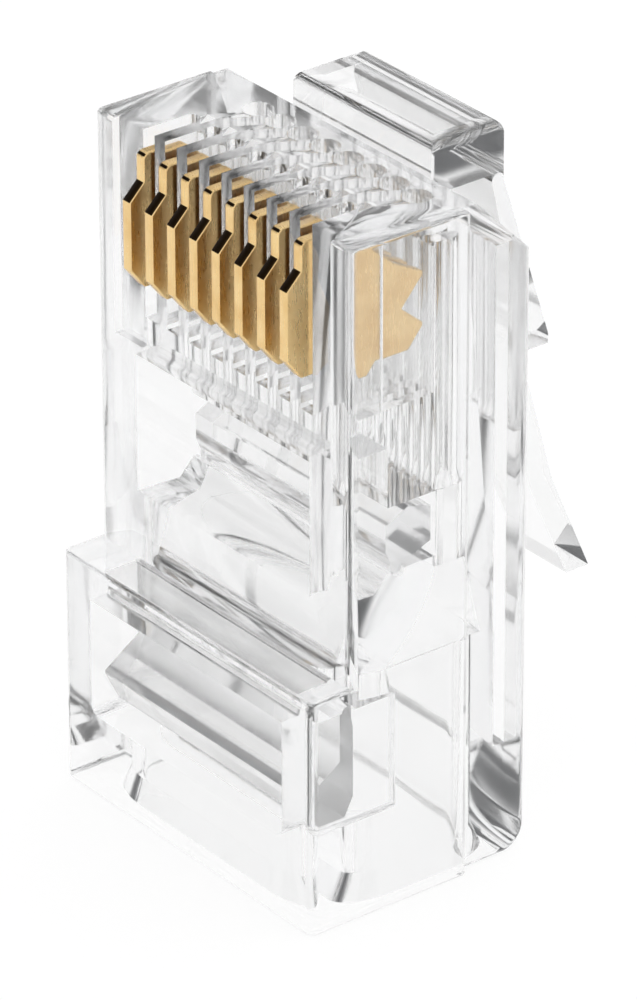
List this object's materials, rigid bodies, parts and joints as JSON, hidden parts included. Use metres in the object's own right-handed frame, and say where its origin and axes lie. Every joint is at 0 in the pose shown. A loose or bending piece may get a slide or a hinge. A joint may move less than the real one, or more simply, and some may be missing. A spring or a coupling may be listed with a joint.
{
  "type": "modular plug",
  "caption": "Clear modular network plug: stepped box body, gilt blade contacts standing in nose slots, sprung release latch and crimp clamp bars in side windows.",
  "frame": {"origin": "centre of the cable entry in the rear face", "axes": "+Z from the cable end to the nose, the way the plug enters a jack; X along the row of contacts; -Y the contact side, +Y the latch side"},
  "size_m": [0.0116, 0.0135, 0.022],
  "materials": {
    "clear_polycarbonate": "clear, moulded gloss",
    "gold_plated_bronze": "thin gold plating"
  },
  "bodies": {
    "plug_body": {"housing": "clear_polycarbonate"},
    "latch": {"release_latch": "clear_polycarbonate"},
    "cable_clamp": {"cable_clamp_bar": "clear_polycarbonate"},
    "conductor_clamp": {"conductor_clamp_bar": "clear_polycarbonate"},
    "blade_1": {"contact_1": "gold_plated_bronze"},
    "blade_2": {"contact_2": "gold_plated_bronze"},
    "blade_3": {"contact_3": "gold_plated_bronze"},
    "blade_4": {"contact_4": "gold_plated_bronze"},
    "blade_5": {"contact_5": "gold_plated_bronze"},
    "blade_6": {"contact_6": "gold_plated_bronze"},
    "blade_7": {"contact_7": "gold_plated_bronze"},
    "blade_8": {"contact_8": "gold_plated_bronze"}
  },
  "joints": [
    {"name": "latch_press", "type": "hinge", "parent": "plug_body", "child": "latch", "pos_m": [0, 0.00434, 0.02009], "axis": [-1, 0, 0], "range_deg": [0, 15], "stiffness_Nm_per_rad": 0.2},
    {"name": "cable_clamp_crimp", "type": "hinge", "parent": "plug_body", "child": "cable_clamp", "pos_m": [0, -0.00261, 0.00643], "axis": [1, 0, 0], "range_deg": [0, 20]},
    {"name": "conductor_clamp_crimp", "type": "hinge", "parent": "plug_body", "child": "conductor_clamp", "pos_m": [0, -0.00064, 0.01024], "axis": [-1, 0, 0], "range_deg": [0, 14]},
    {"name": "blade_1_crimp", "type": "slide", "parent": "plug_body", "child": "blade_1", "axis": [0, 1, 0], "range_m": [0, 0.00116]},
    {"name": "blade_2_crimp", "type": "slide", "parent": "plug_body", "child": "blade_2", "axis": [0, 1, 0], "range_m": [0, 0.00116]},
    {"name": "blade_3_crimp", "type": "slide", "parent": "plug_body", "child": "blade_3", "axis": [0, 1, 0], "range_m": [0, 0.00116]},
    {"name": "blade_4_crimp", "type": "slide", "parent": "plug_body", "child": "blade_4", "axis": [0, 1, 0], "range_m": [0, 0.00116]},
    {"name": "blade_5_crimp", "type": "slide", "parent": "plug_body", "child": "blade_5", "axis": [0, 1, 0], "range_m": [0, 0.00116]},
    {"name": "blade_6_crimp", "type": "slide", "parent": "plug_body", "child": "blade_6", "axis": [0, 1, 0], "range_m": [0, 0.00116]},
    {"name": "blade_7_crimp", "type": "slide", "parent": "plug_body", "child": "blade_7", "axis": [0, 1, 0], "range_m": [0, 0.00116]},
    {"name": "blade_8_crimp", "type": "slide", "parent": "plug_body", "child": "blade_8", "axis": [0, 1, 0], "range_m": [0, 0.00116]}
  ]
}
